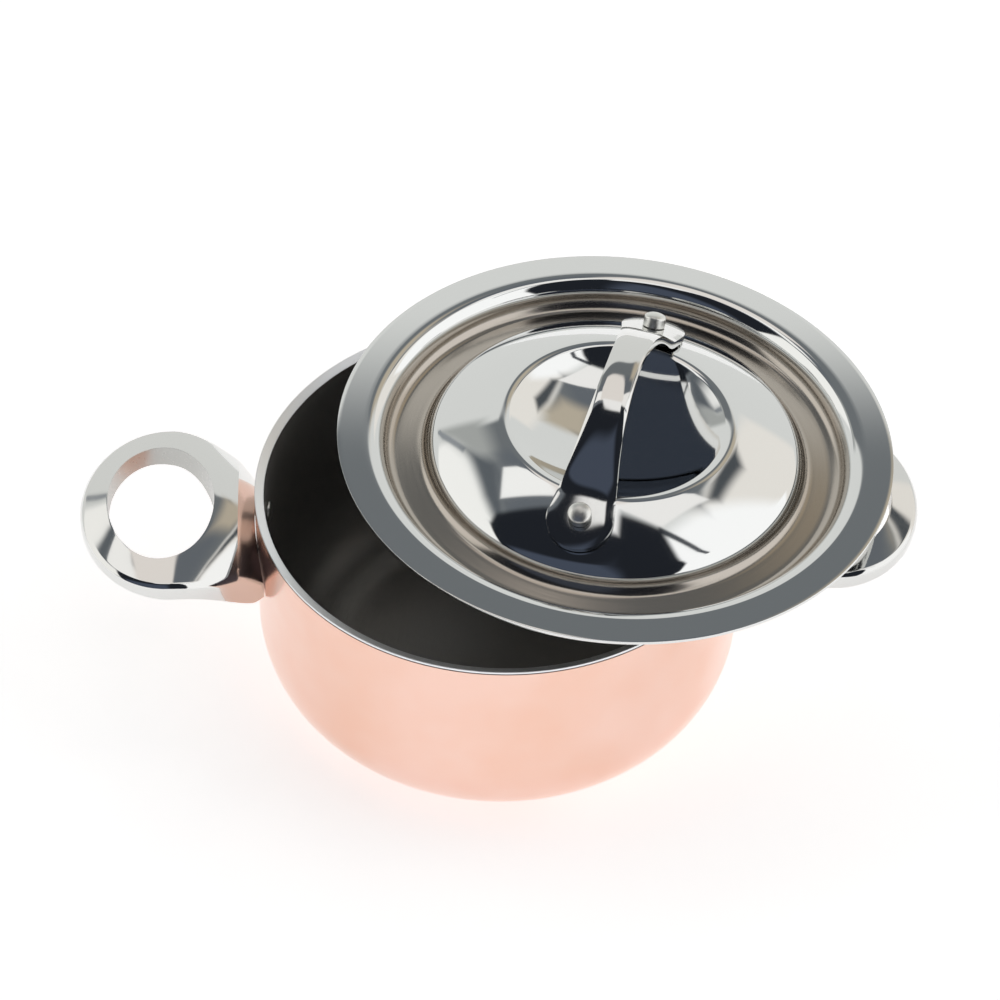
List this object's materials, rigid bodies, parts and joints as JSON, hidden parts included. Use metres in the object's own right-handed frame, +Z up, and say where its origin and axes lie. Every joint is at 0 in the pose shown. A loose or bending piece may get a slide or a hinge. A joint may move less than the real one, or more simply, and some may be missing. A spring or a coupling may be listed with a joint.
{
  "type": "two-handled saucepan with lid",
  "caption": "Copper saucepan with a steel lining, cast ring handles riveted to its wall, and a pressed steel lid with an arched strap handle that lies askew on the rim.",
  "frame": {"origin": "centre of the flat base that the pan stands on", "axes": "+Z up; the two ring handles lie along X, and +X points through the one that the lid leans over"},
  "size_m": [0.2732, 0.183, 0.1261],
  "materials": {
    "copper": "polished",
    "lining_steel": "brushed",
    "cast_steel": "polished",
    "sheet_steel": "polished",
    "rivet_steel": "polished"
  },
  "bodies": {
    "pan": {"copper_body": "copper", "steel_lining": "lining_steel", "left_handle": "cast_steel", "right_handle": "cast_steel", "left_handle_rivet_front": "rivet_steel", "left_handle_rivet_back": "rivet_steel", "right_handle_rivet_front": "rivet_steel", "right_handle_rivet_back": "rivet_steel"},
    "lid": {"lid_plate": "sheet_steel", "lid_strap": "cast_steel", "lid_rivet_front": "rivet_steel", "lid_rivet_back": "rivet_steel"}
  },
  "joints": [
    {"name": "lid_lift", "type": "slide", "parent": "pan", "child": "lid", "axis": [0, 0, 1], "range_m": [0, 0.1]}
  ]
}
